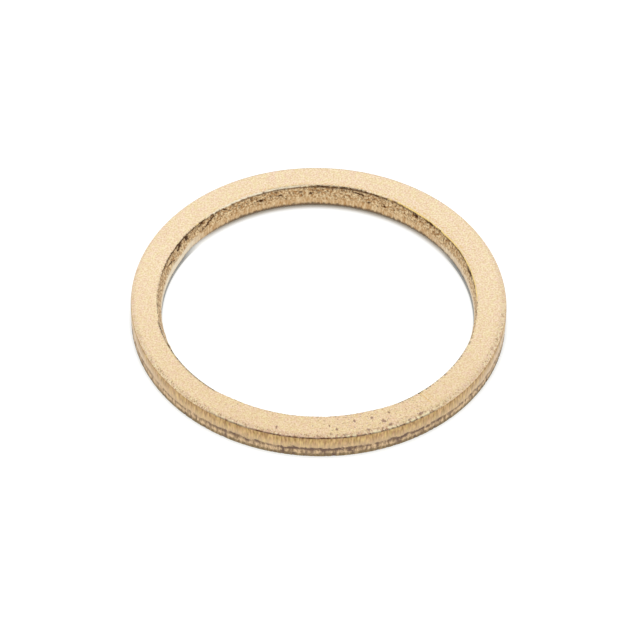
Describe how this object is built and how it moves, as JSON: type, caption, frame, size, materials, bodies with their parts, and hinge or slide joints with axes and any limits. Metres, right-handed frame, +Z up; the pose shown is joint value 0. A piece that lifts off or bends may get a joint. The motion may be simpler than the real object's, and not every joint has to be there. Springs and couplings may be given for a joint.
{
  "type": "flat sealing ring",
  "caption": "Flat metal sealing ring, punched from strip with sheared edges, that is crushed under a screw plug, union bolt or sensor to seal it against liquid or gas.",
  "frame": {"origin": "centre of the outside circle, on the underside that the ring lies on", "axes": "+Z up through the bore, from the underside to the face with the rolled outer edge; +X to the right in the picture; +Y away from its camera"},
  "size_m": [0.0288, 0.0288, 0.0021],
  "materials": {
    "copper_alloy": "satin"
  },
  "bodies": {
    "root": {"sealing_ring": "copper_alloy"}
  },
  "joints": []
}
